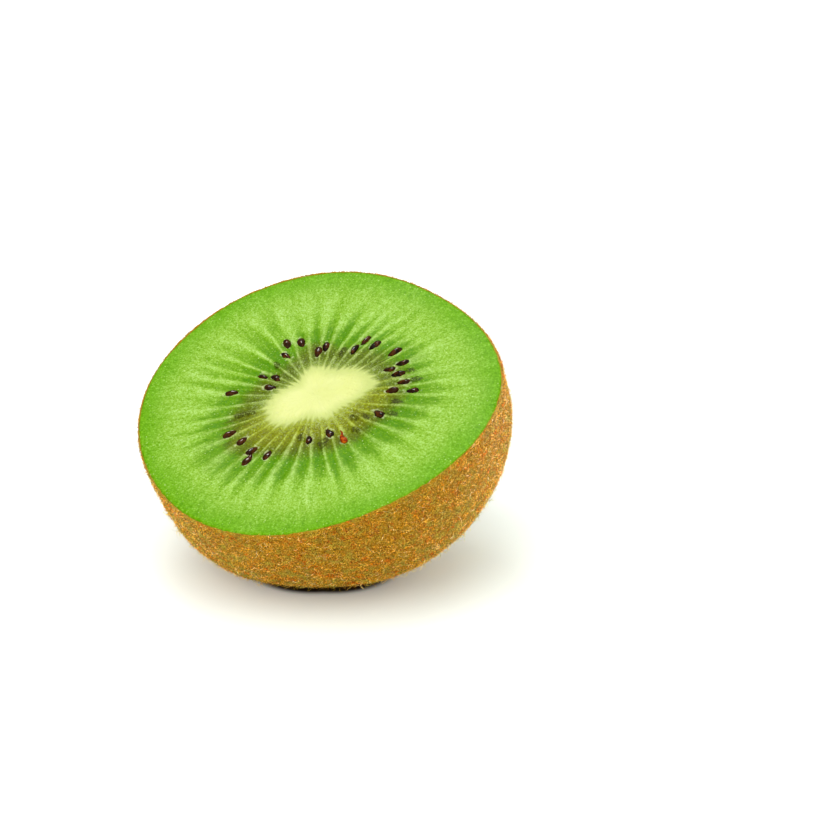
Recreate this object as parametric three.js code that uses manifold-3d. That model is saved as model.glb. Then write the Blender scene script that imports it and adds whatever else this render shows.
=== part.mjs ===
// Half a kiwi fruit, cut across and left as it rolled to rest: it lies on a small flat spot of its
// rounded side, and the cut face tilts up and leans towards -Y. Millimetres, +Z up. The origin is on
// the table, below the middle of the fruit.
//
// Two solids: "flesh" is the body with its skin, the shallow radial locules and the seeds fused into
// the cut face, and "core" is the pale column that runs down through it, in a pocket of its own.
//
// Both are first made in the frame of the cut face: x and y lie in the face, y up its slope, and z
// points out of it, so that the fruit fills z < 0.

import * as THREE from "three";
import { mergeVertices } from "three/addons/utils/BufferGeometryUtils.js";
import Module from "manifold-3d";

const degrees = THREE.MathUtils.degToRad;

// ---- Driving dimensions -------------------------------------------------------------------------

// The cut face and the rounded body below it. A wobble is a gentle swelling of the outline with so
// many lobes, one of them at the angle "at".
const FACE_RADIUS = 26.7;
const FACE_WOBBLES = [
  { lobes: 2, size: 1.25, at: degrees(-17) },
  { lobes: 3, size: 0.58, at: degrees(23) },
  { lobes: 4, size: 0.24, at: degrees(17) },
];
const BODY_WOBBLES = [
  { lobes: 2, size: 1.64, at: degrees(10.5) },
  { lobes: 3, size: 1.0, at: degrees(20) },
  { lobes: 4, size: 1.04, at: degrees(-33.5) },
];
const BODY_DEPTH = 26.8;
const BODY_SQUARENESS = 2.19; // 2 is an ellipsoid, and more is boxier
const END_OFFSET = { x: 0.1, y: 0.1 }; // how far the blossom end sits off the face's middle

// The pose, and how far the fruit's own weight flattens the skin that it rests on.
const FACE_TILT = degrees(26.8);
const FOOT_SINK = 1.2;

// The blossom end: a low collar round the dried remains of the flower.
const COLLAR_RADIUS = 3.0;
const COLLAR_LIP_RADIUS = 2.0;
const COLLAR_HEIGHT = 0.7;
const COLLAR_HOLLOW = 0.6;
const COLLAR_ROOT = 1.6;
const COLLAR_SEGMENTS = 16;

// The core: a rounded, four-cornered column, longer one way than the other. Its middle, which the
// locules and seeds are set round, is a little up the slope from the face's.
const CORE_OFFSET = { x: 0, y: 0.6 };
const CORE_RADIUS = 6.68;
const CORE_WOBBLES = [
  { lobes: 1, size: 0.17, at: degrees(57) },
  { lobes: 2, size: 1.23, at: degrees(47) },
  { lobes: 3, size: 0.43, at: degrees(5) },
  { lobes: 4, size: 0.55, at: degrees(-46) },
  { lobes: 5, size: 0.18, at: degrees(-27) },
  { lobes: 6, size: 0.17, at: degrees(14) },
];
const CORE_TOOTH = 0.25; // how far the core's edge runs out along each locule wall
const CORE_DEPTH = 19;
const CORE_ENDING = 3; // how long the column keeps its width before it rounds off
const CORE_GAP = 0.3;
const POCKET_TOP = 1; // how far the tool that cuts the core's pocket stands out of the cut

// The locules: narrow radial chambers, sunk a little below the cut between paler walls.
const LOCULES = 38;
const LOCULE_TURN = degrees(2.4); // the angle of the first one's middle
const LOCULE_START = 1.1; // beyond the core's edge
const LOCULE_END = 0.66; // share of the way out to the skin
const LOCULE_FILL = 0.62; // share of the space between two walls
const LOCULE_DIP = 0.22;
const LOCULE_RISE = 0.12; // the dip's shape is centred so far above the cut

// The seeds that the cut laid open, in three rows that follow the core's long shape. One letter for
// each locule, anticlockwise: D a dark seed, R a red one, f a seed under a film of flesh. Each is
// scattered a little about its place in the row.
const SEED_ROWS = [
  { radius: 9.1, letters: ".....D...Df..D....DD...f......fD.D..f." },
  { radius: 11.4, letters: "D.DDDDD.DD..D..D.fD....fDD.DD...ffRf.f" },
  { radius: 13.5, letters: "ffDff.........DD....D......D.........." },
];
const ROW_WOBBLES = [{ lobes: 2, size: 1.1, at: degrees(60) }];
const DISTANCE_SCATTER = { most: 1.0, draw: 955310222 };
const ANGLE_SCATTER = { most: degrees(4), draw: 387283579 };
const SEED_TWIST = degrees(14); // the most that a seed's length turns out of the radius
const SEED_SIZE = { length: 2.1, width: 1.15, height: 1.0 };
const SEED_SUNK = { D: 0.12, R: 0.15, f: 0.34 }; // how far the seed's middle is below the cut
const SEED_CLEARANCE = 0.5; // from the core's pocket

// How finely the surfaces are divided.
const AROUND = 2 * LOCULES;
const BODY_RINGS = 17;
const CORE_RINGS = 5;
const DIP_SIDES = { around: 8, down: 4 };
const SEED_SIDES = { around: 8, down: 6 };
const WELD_DISTANCE = 1e-4;

// ---- Shape functions ----------------------------------------------------------------------------

function wobbling(radius, wobbles, angle) {
  return wobbles.reduce((r, w) => r + w.size * Math.cos(w.lobes * (angle - w.at)), radius);
}

function faceRadius(angle) {
  return wobbling(FACE_RADIUS, FACE_WOBBLES, angle);
}

function coreRadius(angle) {
  const tooth = CORE_TOOTH * Math.cos(LOCULES * (angle - LOCULE_TURN));
  return wobbling(CORE_RADIUS, CORE_WOBBLES, angle) - tooth;
}

// A point of the skin: angle is round the face, and down runs from 0 at the cut to a quarter turn
// at the blossom end. The outline changes from the face's to the body's on the way.
function skinPoint(angle, down) {
  const power = 2 / BODY_SQUARENESS;
  const sunk = Math.sin(down) ** power;
  const share = sunk * sunk * (3 - 2 * sunk);
  const outline =
    (1 - share) * faceRadius(angle) + share * wobbling(FACE_RADIUS, BODY_WOBBLES, angle);
  const radius = outline * Math.max(0, Math.cos(down)) ** power;
  return new THREE.Vector3(
    radius * Math.cos(angle) + END_OFFSET.x * sunk * sunk,
    radius * Math.sin(angle) + END_OFFSET.y * sunk * sunk,
    -BODY_DEPTH * sunk,
  );
}

// A quarter-circle lathe, closed by a flat disc, whose every vertex is then moved to where
// place(angle, down) puts it. The disc's middle is at the point given.
function lathedForm(rings, discMiddle, place) {
  const quarter = Math.PI / 2;
  const profile = [];
  for (let i = 0; i <= rings; i++) {
    const down = quarter * (1 - i / rings);
    profile.push(new THREE.Vector2(i ? Math.cos(down) : 0, -Math.sin(down)));
  }
  profile.push(new THREE.Vector2(0, 0));
  const lathe = new THREE.LatheGeometry(profile, AROUND);
  const position = lathe.getAttribute("position");
  for (let i = 0; i < position.count; i++) {
    const [x, y, z] = [position.getX(i), position.getY(i), position.getZ(i)];
    const out = Math.hypot(x, z);
    const onDisc = out === 0 && y === 0;
    const angle = LOCULE_TURN + Math.atan2(x, z);
    const point = onDisc ? discMiddle : place(angle, Math.atan2(-y, out));
    position.setXYZ(i, point.x, point.y, point.z);
  }
  return lathe;
}

function bodyForm() {
  return lathedForm(BODY_RINGS, new THREE.Vector3(), skinPoint);
}

// The core's column, made wider and longer by gap, with its flat top at the height given.
function coreForm(gap, top) {
  const middle = new THREE.Vector3(CORE_OFFSET.x, CORE_OFFSET.y, top);
  return lathedForm(CORE_RINGS, middle, (angle, down) => {
    const sunk = Math.sin(down);
    const width = Math.max(0, 1 - sunk ** CORE_ENDING) ** (1 / CORE_ENDING);
    const radius = (coreRadius(angle) + gap) * width;
    return new THREE.Vector3(
      CORE_OFFSET.x + radius * Math.cos(angle),
      CORE_OFFSET.y + radius * Math.sin(angle),
      top - sunk * (top + CORE_DEPTH + gap),
    );
  });
}

function collarForm() {
  const base = COLLAR_ROOT;
  const profile = [
    [0, -base],
    [COLLAR_RADIUS, -base],
    [COLLAR_RADIUS, 0],
    [COLLAR_LIP_RADIUS, COLLAR_HEIGHT],
    [COLLAR_LIP_RADIUS / 2, COLLAR_HEIGHT / 2],
    [0, COLLAR_HEIGHT - COLLAR_HOLLOW],
  ].map(([r, h]) => new THREE.Vector2(r, h));
  return new THREE.LatheGeometry(profile, COLLAR_SEGMENTS)
    .rotateX(-Math.PI / 2)
    .translate(END_OFFSET.x, END_OFFSET.y, -BODY_DEPTH);
}

// An ellipsoid laid on the cut face, at an angle and a distance from the core's middle. Its long
// axis points away from there, but for the twist.
function lozenge(sides, size, { angle, distance, twist = 0 }, level) {
  const radius = 1 / 2; // so that the ball is 1 across before it is scaled
  return new THREE.SphereGeometry(radius, sides.around, sides.down)
    .rotateX(Math.PI / 2)
    .scale(size.length, size.width, size.height)
    .rotateZ(twist)
    .translate(distance, 0, level)
    .rotateZ(angle)
    .translate(CORE_OFFSET.x, CORE_OFFSET.y, 0);
}

function loculeAngle(index) {
  return LOCULE_TURN + (2 * Math.PI * index) / LOCULES;
}

function loculeForm(index) {
  const angle = loculeAngle(index);
  const from = coreRadius(angle) + CORE_GAP + LOCULE_START;
  const to = LOCULE_END * faceRadius(angle);
  const distance = (from + to) / 2;
  const width = (2 * Math.PI * distance * LOCULE_FILL) / LOCULES;
  const size = { length: to - from, width, height: 2 * (LOCULE_DIP + LOCULE_RISE) };
  return lozenge(DIP_SIDES, size, { angle, distance }, LOCULE_RISE);
}

// ---- Seeds --------------------------------------------------------------------------------------

// A small repeatable draw of numbers from -1 to 1: Lehmer's generator.
const LEHMER_FACTOR = 16807;
const LEHMER_PRIME = 2 ** 31 - 1;

function drawer(start) {
  let state = start;
  return () => {
    state = (state * LEHMER_FACTOR) % LEHMER_PRIME;
    return (2 * state) / LEHMER_PRIME - 1;
  };
}

// The seeds as { kind, angle, distance, twist }, locule by locule.
function seeds() {
  const drawAngle = drawer(ANGLE_SCATTER.draw);
  const drawDistance = drawer(DISTANCE_SCATTER.draw);
  const found = [];
  for (let locule = 0; locule < LOCULES; locule++) {
    for (const row of SEED_ROWS) {
      const kind = row.letters[locule];
      if (kind === ".") continue;
      const turned = drawAngle();
      const middle = loculeAngle(locule);
      const angle = middle + ANGLE_SCATTER.most * turned;
      const distance =
        wobbling(row.radius, ROW_WOBBLES, middle) + DISTANCE_SCATTER.most * drawDistance();
      const nearest = coreRadius(angle) + CORE_GAP + SEED_CLEARANCE + SEED_SIZE.length / 2;
      const twist = SEED_TWIST * turned;
      found.push({ kind, angle, distance: Math.max(distance, nearest), twist });
    }
  }
  return found;
}

function seedForm(seed) {
  return lozenge(SEED_SIDES, SEED_SIZE, seed, -SEED_SUNK[seed.kind]);
}

// ---- Joining and cutting ------------------------------------------------------------------------

const wasm = await Module();
wasm.setup();

function solid(geometry) {
  const bare = geometry.clone();
  bare.deleteAttribute("normal");
  bare.deleteAttribute("uv");
  const merged = mergeVertices(bare, WELD_DISTANCE);
  return new wasm.Manifold(
    new wasm.Mesh({
      numProp: 3,
      vertProperties: merged.getAttribute("position").array,
      triVerts: new Uint32Array(merged.index.array),
    }),
  );
}

function geometryOf(manifold) {
  const mesh = manifold.getMesh();
  const geometry = new THREE.BufferGeometry();
  geometry.setAttribute("position", new THREE.BufferAttribute(mesh.vertProperties, 3));
  geometry.setIndex(new THREE.BufferAttribute(mesh.triVerts, 1));
  geometry.computeVertexNormals();
  return geometry;
}

// ---- The half fruit -----------------------------------------------------------------------------

// Everything below this level, in the face's frame, would be under the table.
const leaned = bodyForm().rotateX(FACE_TILT);
leaned.computeBoundingBox();
const tableLevel = leaned.boundingBox.min.z + FOOT_SINK;
const halfSize = 2 * BODY_DEPTH;
const underTable = new THREE.BoxGeometry(2 * halfSize, 2 * halfSize, halfSize)
  .translate(0, 0, tableLevel - halfSize / 2)
  .rotateX(-FACE_TILT);

let flesh = solid(bodyForm()).add(solid(collarForm()));
flesh = flesh.subtract(solid(coreForm(CORE_GAP, POCKET_TOP)));
for (let i = 0; i < LOCULES; i++) flesh = flesh.subtract(solid(loculeForm(i)));
for (const seed of seeds()) flesh = flesh.add(solid(seedForm(seed)));
flesh = flesh.subtract(solid(underTable));

function part(name, geometry, color, roughness) {
  const material = new THREE.MeshStandardMaterial({ color, roughness, metalness: 0 });
  const mesh = new THREE.Mesh(geometry, material);
  mesh.name = name;
  return mesh;
}

const half = new THREE.Group();
half.add(part("flesh", geometryOf(flesh), 0x8fd043, 0.35));
half.add(part("core", coreForm(0, 0), 0xf3f8ac, 0.5));
half.rotation.x = FACE_TILT;
half.updateMatrixWorld(true);

// Its box is centred over the origin, and the flat spot is on the table.
const box = new THREE.Box3().setFromObject(half, true);
const middle = box.getCenter(new THREE.Vector3());
half.position.set(-middle.x, -middle.y, -box.min.z);

const kiwiHalf = new THREE.Group();
kiwiHalf.add(half);

export default kiwiHalf;
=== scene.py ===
import math
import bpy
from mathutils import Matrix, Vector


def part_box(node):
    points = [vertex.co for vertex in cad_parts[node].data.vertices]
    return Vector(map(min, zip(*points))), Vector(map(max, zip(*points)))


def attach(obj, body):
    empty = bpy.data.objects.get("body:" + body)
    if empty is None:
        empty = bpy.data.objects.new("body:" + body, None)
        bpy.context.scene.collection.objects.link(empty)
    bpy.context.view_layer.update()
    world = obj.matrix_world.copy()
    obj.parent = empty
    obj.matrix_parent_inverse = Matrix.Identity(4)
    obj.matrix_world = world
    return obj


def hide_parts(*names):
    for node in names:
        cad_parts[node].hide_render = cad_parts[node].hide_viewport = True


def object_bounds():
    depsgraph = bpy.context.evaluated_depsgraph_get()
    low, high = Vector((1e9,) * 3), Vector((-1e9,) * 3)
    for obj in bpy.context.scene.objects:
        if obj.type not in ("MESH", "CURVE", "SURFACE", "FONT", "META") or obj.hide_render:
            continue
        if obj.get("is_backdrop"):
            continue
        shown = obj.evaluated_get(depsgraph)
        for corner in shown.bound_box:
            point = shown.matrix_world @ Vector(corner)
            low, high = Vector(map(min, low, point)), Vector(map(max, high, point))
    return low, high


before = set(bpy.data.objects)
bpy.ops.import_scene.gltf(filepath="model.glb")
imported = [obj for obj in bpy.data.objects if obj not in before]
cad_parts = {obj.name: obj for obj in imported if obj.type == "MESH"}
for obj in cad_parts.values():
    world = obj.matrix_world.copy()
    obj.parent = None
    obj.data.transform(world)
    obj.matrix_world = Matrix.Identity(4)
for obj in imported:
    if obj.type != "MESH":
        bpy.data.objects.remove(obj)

from types import SimpleNamespace

import bpy
import numpy as np
from mathutils import Matrix, Vector

# Half a kiwi fruit, cut across and lying on its rounded, hairy side. The form repeats the packed
# part's: it is first worked out in the frame of the cut face, in millimetres, where x and y lie in
# the face and z points out of it, and then leaned over and set on the table, in metres.

cad_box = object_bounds()

MM = 0.001
TAU = 2 * math.pi
rad = math.radians

# ---- The form, as in the part ----

FACE_RADIUS = 26.7
FACE_WOBBLES = [(2, 1.25, rad(-17)), (3, 0.58, rad(23)), (4, 0.24, rad(17))]  # lobes, size, at
BODY_WOBBLES = [(2, 1.64, rad(10.5)), (3, 1.0, rad(20)), (4, 1.04, rad(-33.5))]
BODY_DEPTH = 26.8
BODY_SQUARENESS = 2.19
END_OFFSET = np.array([0.1, 0.1])
FACE_TILT = rad(26.8)
FOOT_SINK = 1.2

COLLAR_RADIUS = 3.0
COLLAR_LIP_RADIUS = 2.0
COLLAR_HEIGHT = 0.7
COLLAR_HOLLOW = 0.6

CORE_OFFSET = np.array([0.0, 0.6])
CORE_RADIUS = 6.68
CORE_WOBBLES = [
    (1, 0.17, rad(57)),
    (2, 1.23, rad(47)),
    (3, 0.43, rad(5)),
    (4, 0.55, rad(-46)),
    (5, 0.18, rad(-27)),
    (6, 0.17, rad(14)),
]

LOCULES = 38
LOCULE_TURN = rad(2.4)

SEED_ROWS = [
    (9.1, ".....D...Df..D....DD...f......fD.D..f."),
    (11.4, "D.DDDDD.DD..D..D.fD....fDD.DD...ffRf.f"),
    (13.5, "ffDff.........DD....D......D.........."),
]
ROW_WOBBLES = [(2, 1.1, rad(60))]
DISTANCE_SCATTER, DISTANCE_DRAW = 1.0, 955310222
ANGLE_SCATTER, ANGLE_DRAW = rad(4), 387283579
SEED_TWIST = rad(14)
SEED_SIZE = (2.1, 1.15, 1.0)
SEED_SUNK = {"D": 0.12, "R": 0.15, "f": 0.34}
SEED_CLEARANCE = 0.8
CORE_TOOTH = 0.25

SKIN_THICKNESS = 0.35


def wobbling(radius, wobbles, angle):
    return radius + sum(size * np.cos(lobes * (angle - at)) for lobes, size, at in wobbles)


def core_radius(angle):
    return wobbling(CORE_RADIUS, CORE_WOBBLES, angle)


def smooth(low, high, value):
    """0 below low, 1 above high, and an S-curve between them. low may be the larger."""
    share = np.clip((value - low) / (high - low), 0, 1)
    return share * share * (3 - 2 * share)


def skin_points(angle, down):
    """Points of the skin: angle is round the face, down is 0 at the cut and a quarter turn at the end."""
    power = 2 / BODY_SQUARENESS
    sunk = np.sin(down) ** power
    share = sunk * sunk * (3 - 2 * sunk)
    outline = (1 - share) * wobbling(FACE_RADIUS, FACE_WOBBLES, angle)
    outline = outline + share * wobbling(FACE_RADIUS, BODY_WOBBLES, angle)
    radius = outline * np.maximum(0, np.cos(down)) ** power
    x = radius * np.cos(angle) + END_OFFSET[0] * sunk**2
    y = radius * np.sin(angle) + END_OFFSET[1] * sunk**2
    return np.stack(np.broadcast_arrays(x, y, -BODY_DEPTH * sunk), -1)


def unit(vectors):
    return vectors / np.maximum(np.linalg.norm(vectors, axis=-1, keepdims=True), 1e-12)


def skin_normals(angle, down):
    step = 1e-3
    down = np.clip(down, 2 * step, math.pi / 2 - 2 * step)
    round_it = skin_points(angle + step, down) - skin_points(angle - step, down)
    along_it = skin_points(angle, down + step) - skin_points(angle, down - step)
    return unit(np.cross(along_it, round_it))


def collar(points):
    """How far the low collar at the blossom end lifts the skin there."""
    end = np.array([*END_OFFSET, -BODY_DEPTH])
    away = np.linalg.norm(points - end, axis=-1)
    lip = COLLAR_HEIGHT * smooth(COLLAR_RADIUS, COLLAR_LIP_RADIUS, away)
    return lip - COLLAR_HOLLOW * smooth(COLLAR_LIP_RADIUS, COLLAR_LIP_RADIUS / 3, away)


# ---- Where it lies ----

LEAN = np.array(Matrix.Rotation(FACE_TILT, 3, "X"))


def find_place():
    """What moves the leaned fruit to its packed place, and the middle of its foot there, in mm."""
    angle, down = np.meshgrid(np.linspace(0, TAU, 721), np.linspace(0, math.pi / 2, 181))
    leaned = skin_points(angle, down).reshape(-1, 3) @ LEAN.T
    low, high = leaned.min(0), leaned.max(0)
    box_low, box_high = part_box("flesh")
    middle = (np.array(box_low) + np.array(box_high)) / 2 / MM
    offset = middle - (low + high) / 2
    offset[2] = -low[2] - FOOT_SINK
    foot = leaned[leaned[:, 2].argmin()] + offset
    return offset, np.array([foot[0], foot[1], 0])


OFFSET, FOOT_MIDDLE = find_place()
FOOT_SOFTNESS = 0.12  # how gently the body turns into its flat foot


def placed(points, floor=0.0):
    """Face frame, mm, to the row frame, mm, with what would be under the table pressed flat on it."""
    moved = points @ LEAN.T + OFFSET
    above = moved[..., 2] - floor
    moved[..., 2] = floor + (above + np.sqrt(above**2 + FOOT_SOFTNESS**2)) / 2
    return moved


# ---- Seeds ----


def drawer(state):
    """The part's own small draw of numbers from -1 to 1."""
    while True:
        state = state * 16807 % 2147483647
        yield 2 * state / 2147483647 - 1


def find_seeds():
    """The seeds as (kind, angle, distance, twist) round the core's middle, as the part has them."""
    angles, distances = drawer(ANGLE_DRAW), drawer(DISTANCE_DRAW)
    found = []
    for locule in range(LOCULES):
        middle = LOCULE_TURN + TAU * locule / LOCULES
        for radius, letters in SEED_ROWS:
            kind = letters[locule]
            if kind == ".":
                continue
            turn = next(angles)
            angle = middle + ANGLE_SCATTER * turn
            distance = wobbling(radius, ROW_WOBBLES, middle) + DISTANCE_SCATTER * next(distances)
            tooth = CORE_TOOTH * math.cos(LOCULES * (angle - LOCULE_TURN))
            nearest = core_radius(angle) - tooth + SEED_CLEARANCE + SEED_SIZE[0] / 2
            found.append((kind, angle, max(distance, nearest), SEED_TWIST * turn))
    return found


SEEDS = find_seeds()

# ---- Mesh tools ----


def ripples(points, wavelength, seed, waves=28):
    """Smooth noise of about that wavelength, mostly from -1 to 1: a sum of plane waves."""
    draw = np.random.default_rng(seed)
    direction = unit(draw.normal(size=(waves, points.shape[-1])))
    number = TAU / (wavelength * draw.uniform(0.75, 1.5, waves))
    phase = draw.uniform(0, TAU, waves)
    return np.cos(points @ (direction * number[:, None]).T + phase).sum(-1) / math.sqrt(waves)


def mesh_piece(name, points, faces, values=None):
    """An object from points in mm and arrays of faces. values is {name: a number or vector a point}."""
    mesh = bpy.data.meshes.new(name)
    mesh.vertices.add(len(points))
    mesh.vertices.foreach_set("co", (points * MM).astype(np.float32).ravel())
    corners = np.concatenate([f.ravel() for f in faces]).astype(np.int32)
    sizes = np.concatenate([np.full(len(f), f.shape[1]) for f in faces])
    starts = np.concatenate([[0], np.cumsum(sizes)[:-1]]).astype(np.int32)
    mesh.loops.add(len(corners))
    mesh.loops.foreach_set("vertex_index", corners)
    mesh.polygons.add(len(sizes))
    mesh.polygons.foreach_set("loop_start", starts)
    mesh.polygons.foreach_set("use_smooth", np.ones(len(sizes), bool))
    for key, value in (values or {}).items():
        kind, field = ("FLOAT", "value") if value.ndim == 1 else ("FLOAT_VECTOR", "vector")
        layer = mesh.attributes.new(key, kind, "POINT")
        layer.data.foreach_set(field, value.astype(np.float32).ravel())
    mesh.update(calc_edges=True)
    piece = bpy.data.objects.new(name, mesh)
    bpy.context.scene.collection.objects.link(piece)
    return piece


def closed_form(rings, first, last):
    """Points and faces of a closed form: rings of points in order, with a point at each end. The
    faces are turned to look outwards."""
    count, around = rings.shape[:2]
    points = np.concatenate([first[None], rings.reshape(-1, 3), last[None]])
    here = 1 + np.arange(around)
    beyond = 1 + (np.arange(around) + 1) % around
    rows = np.arange(count - 1)[:, None] * around
    corners = [rows + here, rows + beyond, rows + around + beyond, rows + around + here]
    quads = np.stack(corners, -1).reshape(-1, 4)
    end = (count - 1) * around
    start_fan = np.stack([np.zeros(around, int), beyond, here], -1)
    end_fan = np.stack([np.full(around, len(points) - 1), end + here, end + beyond], -1)
    tips = points[quads]
    volume = np.einsum("ij,ij->", tips[:, 0], np.cross(tips[:, 1], tips[:, 2]))
    faces = [quads, start_fan, end_fan]
    return points, faces if volume > 0 else [f[:, ::-1] for f in faces]


# ---- The cut flesh and its core ----

COLUMNS = LOCULES * 16
FACE_ROWS = 124
ROW_SHARES = ([0.0, 0.07, 0.68, 0.9, 1.0], [0.0, 0.16, 0.56, 0.9, 1.0])  # rows crowd round the core
WALL_ROWS = 12
FLESH_INSET = 0.14
WALL_INSET = 0.45

LOCULES_FROM = 0.26  # as a share of the way from the core's middle to the rim
WALL_LINE = 0.17  # half the width of a wall near the core
GOLDEN_AT = rad(305)  # on this side the flesh round the core is yellower
CORE_POINT_AT = rad(34)  # here the pale core runs out in a soft point
CORE_POINT_REACH = 0.8
CORE_POINT_WIDTH = rad(7)

# How deep or high the marks on the cut are.
LOCULE_DEPTH = 0.13
SOCKET_DEPTH = 0.08
RIM_DROP = 0.14
RIM_ROUNDING = 0.4
WALL_HEIGHT = 0.05
CORE_HEIGHT = 0.05
VEIL_HEIGHT = 0.1
HALO_HEIGHT = 0.07
GRAIN_HEIGHT = 0.015
CRUMB_HEIGHT = 0.02
FIBRE_HEIGHT = 0.02
SWELL_HEIGHT = 0.06


def rim_reach(angle, inset):
    """How far the rim is from the core's middle, in each direction."""
    dense = np.linspace(-math.pi, math.pi, 4001)[:-1]
    radius = wobbling(FACE_RADIUS, FACE_WOBBLES, dense) - inset
    x = radius * np.cos(dense) - CORE_OFFSET[0]
    y = radius * np.sin(dense) - CORE_OFFSET[1]
    return np.interp(angle, np.arctan2(y, x), np.hypot(x, y), period=TAU)


def seed_field(x, y, kinds):
    """How far each point is from the nearest seed of these kinds, in seed half-sizes."""
    nearest = np.full(x.shape, 99.0)
    for kind, angle, distance, twist in SEEDS:
        if kind not in kinds:
            continue
        dx = x - CORE_OFFSET[0] - distance * math.cos(angle)
        dy = y - CORE_OFFSET[1] - distance * math.sin(angle)
        turn = angle + twist
        along = dx * math.cos(turn) + dy * math.sin(turn)
        across = dy * math.cos(turn) - dx * math.sin(turn)
        size = np.hypot(along / (SEED_SIZE[0] / 2), across / (SEED_SIZE[1] / 2))
        nearest = np.minimum(nearest, size)
    return nearest


def cut_grid(angle, away, reach):
    """The points of the cut in several measures, with the noises that its marks share."""
    share = away / reach
    x = CORE_OFFSET[0] + away * np.cos(angle)
    y = CORE_OFFSET[1] + away * np.sin(angle)
    spot = np.stack([x, y], -1)
    circle = np.stack([np.cos(angle), np.sin(angle), 0.35 * share], -1)
    fibres = ripples(circle * np.array([1, 1, 0.3]), 0.06, 4, 40)
    return SimpleNamespace(
        angle=angle,
        away=away,
        share=share,
        beyond=away - core_radius(angle),  # mm outside the core
        x=x,
        y=y,
        spot=spot,
        circle=circle,
        blotch=ripples(spot, 1.6, 12),
        crumb=ripples(spot, 0.7, 13),
        fibres=fibres,
        golden=smooth(-0.25, 0.5, np.cos(angle - GOLDEN_AT) + 0.12 * fibres),
    )


def locules_and_walls(cut):
    """Masks of the locules and of the walls between them, and how far aside each point is in its
    locule: 0 in the middle and 1 at a wall."""
    draw = np.random.default_rng(11)
    share, beyond, blotch = cut.share, cut.beyond, cut.blotch
    slant = (share - 0.4) * ripples(cut.circle, 0.7, 14)
    turns = LOCULES * (cut.angle - LOCULE_TURN) / TAU
    turns = turns + 0.12 * ripples(cut.circle, 0.5, 1) + 0.07 * ripples(cut.circle, 0.15, 2)
    turns = turns + 1.2 * slant
    index = np.round(turns).astype(int) % LOCULES
    wall_index = np.floor(turns).astype(int) % LOCULES
    side = 2 * np.abs(turns - np.round(turns))

    ending = draw.uniform(0.68, 0.9, LOCULES)[index] + 0.02 * blotch
    vividness = draw.uniform(0.62, 1.0, LOCULES)[index]
    breadth = draw.uniform(0.72, 0.9, LOCULES)[index]
    strength = draw.uniform(0.62, 1.0, LOCULES)[wall_index]
    gone = np.clip((share - LOCULES_FROM) / (ending - LOCULES_FROM), 0, 1.4)
    width = breadth * (1 - 0.6 * gone**2.2) + 0.06 * cut.crumb
    chamber = smooth(width + 0.12, width - 0.34, side)
    mottle = 0.92 + 0.12 * blotch + 0.16 * cut.fibres
    chamber = chamber * smooth(1.1, 0.5, gone) * vividness * mottle
    chamber = np.clip(chamber * smooth(-0.1, 1.2, beyond), 0, 1)

    # Each wall is a thin line near the core, and opens into a soft pale band further out.
    from_wall = np.abs((1 - side) / 2 * TAU * cut.away / LOCULES + 0.08 * ripples(cut.spot, 2.4, 6))
    half = (0.16 + 0.05 * blotch) + 0.7 * smooth(0.34, 0.8, share) ** 1.4
    wall = 0.6 * np.exp(-((from_wall / half) ** 1.6))
    wall = wall + 0.4 * np.exp(-((from_wall / WALL_LINE) ** 1.6))
    wall = wall * smooth(-0.5, 0.4, beyond)
    fade = smooth(0.92, 0.64, share) * (1 - 0.25 * smooth(0.36, 0.66, share))
    wall = np.clip(wall * fade * strength * (0.85 + 0.3 * ripples(cut.spot, 1.2, 3)), 0, 1)
    wall = wall * (1 - (0.25 + 0.5 * cut.golden) * smooth(3.4, 1.2, beyond))
    return chamber, wall, side


def core_mask(cut, side):
    """The core, with a feathered edge that is scalloped at the locules and runs out in one point."""
    scallop = 0.65 * (0.5 - side**2)
    point = CORE_POINT_REACH * np.exp(-(((cut.angle - CORE_POINT_AT) / CORE_POINT_WIDTH) ** 2))
    feather = cut.beyond + 0.2 * cut.fibres + 0.15 * ripples(cut.circle, 0.35, 5) + scallop - point
    return smooth(0.35, -0.9, feather)


def seed_marks(cut):
    """Masks of the film over covered seeds, the torn rim round open ones and the hollow they lie in."""
    bare = seed_field(cut.x, cut.y, "DR")
    veiled = seed_field(cut.x, cut.y, "f")
    rough = 0.12 * ripples(cut.spot, 0.9, 7)
    veil = smooth(1.15, 0.6, veiled + 1.2 * rough)
    halo = smooth(0.86, 0.98, bare) * smooth(1.4, 1.02, bare + 1.5 * rough)
    return veil, halo, smooth(1.3, 0.9, bare)


def face_pattern(angle, away, reach):
    """What the cut shows at each point, as masks from 0 to 1 and lengths in mm, and its relief."""
    cut = cut_grid(angle, away, reach)
    share = cut.share
    chamber, wall, side = locules_and_walls(cut)
    core = core_mask(cut, side)
    veil, halo, socket = seed_marks(cut)

    relief = -LOCULE_DEPTH * chamber + WALL_HEIGHT * wall
    relief = relief + VEIL_HEIGHT * veil + HALO_HEIGHT * halo - SOCKET_DEPTH * socket
    relief = relief + GRAIN_HEIGHT * ripples(cut.spot, 0.45, 8) + CRUMB_HEIGHT * cut.crumb
    relief = relief + SWELL_HEIGHT * ripples(cut.spot, 13, 10)
    relief = relief + FIBRE_HEIGHT * cut.fibres * smooth(0.3, 0.45, share) * smooth(0.95, 0.8, share)
    relief = relief + CORE_HEIGHT * core
    relief = relief - RIM_DROP * smooth(reach - RIM_ROUNDING, reach, away) ** 2

    masks = {
        "share": share,
        "beyond": cut.beyond,
        "core": core,
        "chamber": chamber,
        "wall": wall,
        "golden": cut.golden,
        "veil": veil,
        "halo": halo,
    }
    return masks, relief


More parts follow.
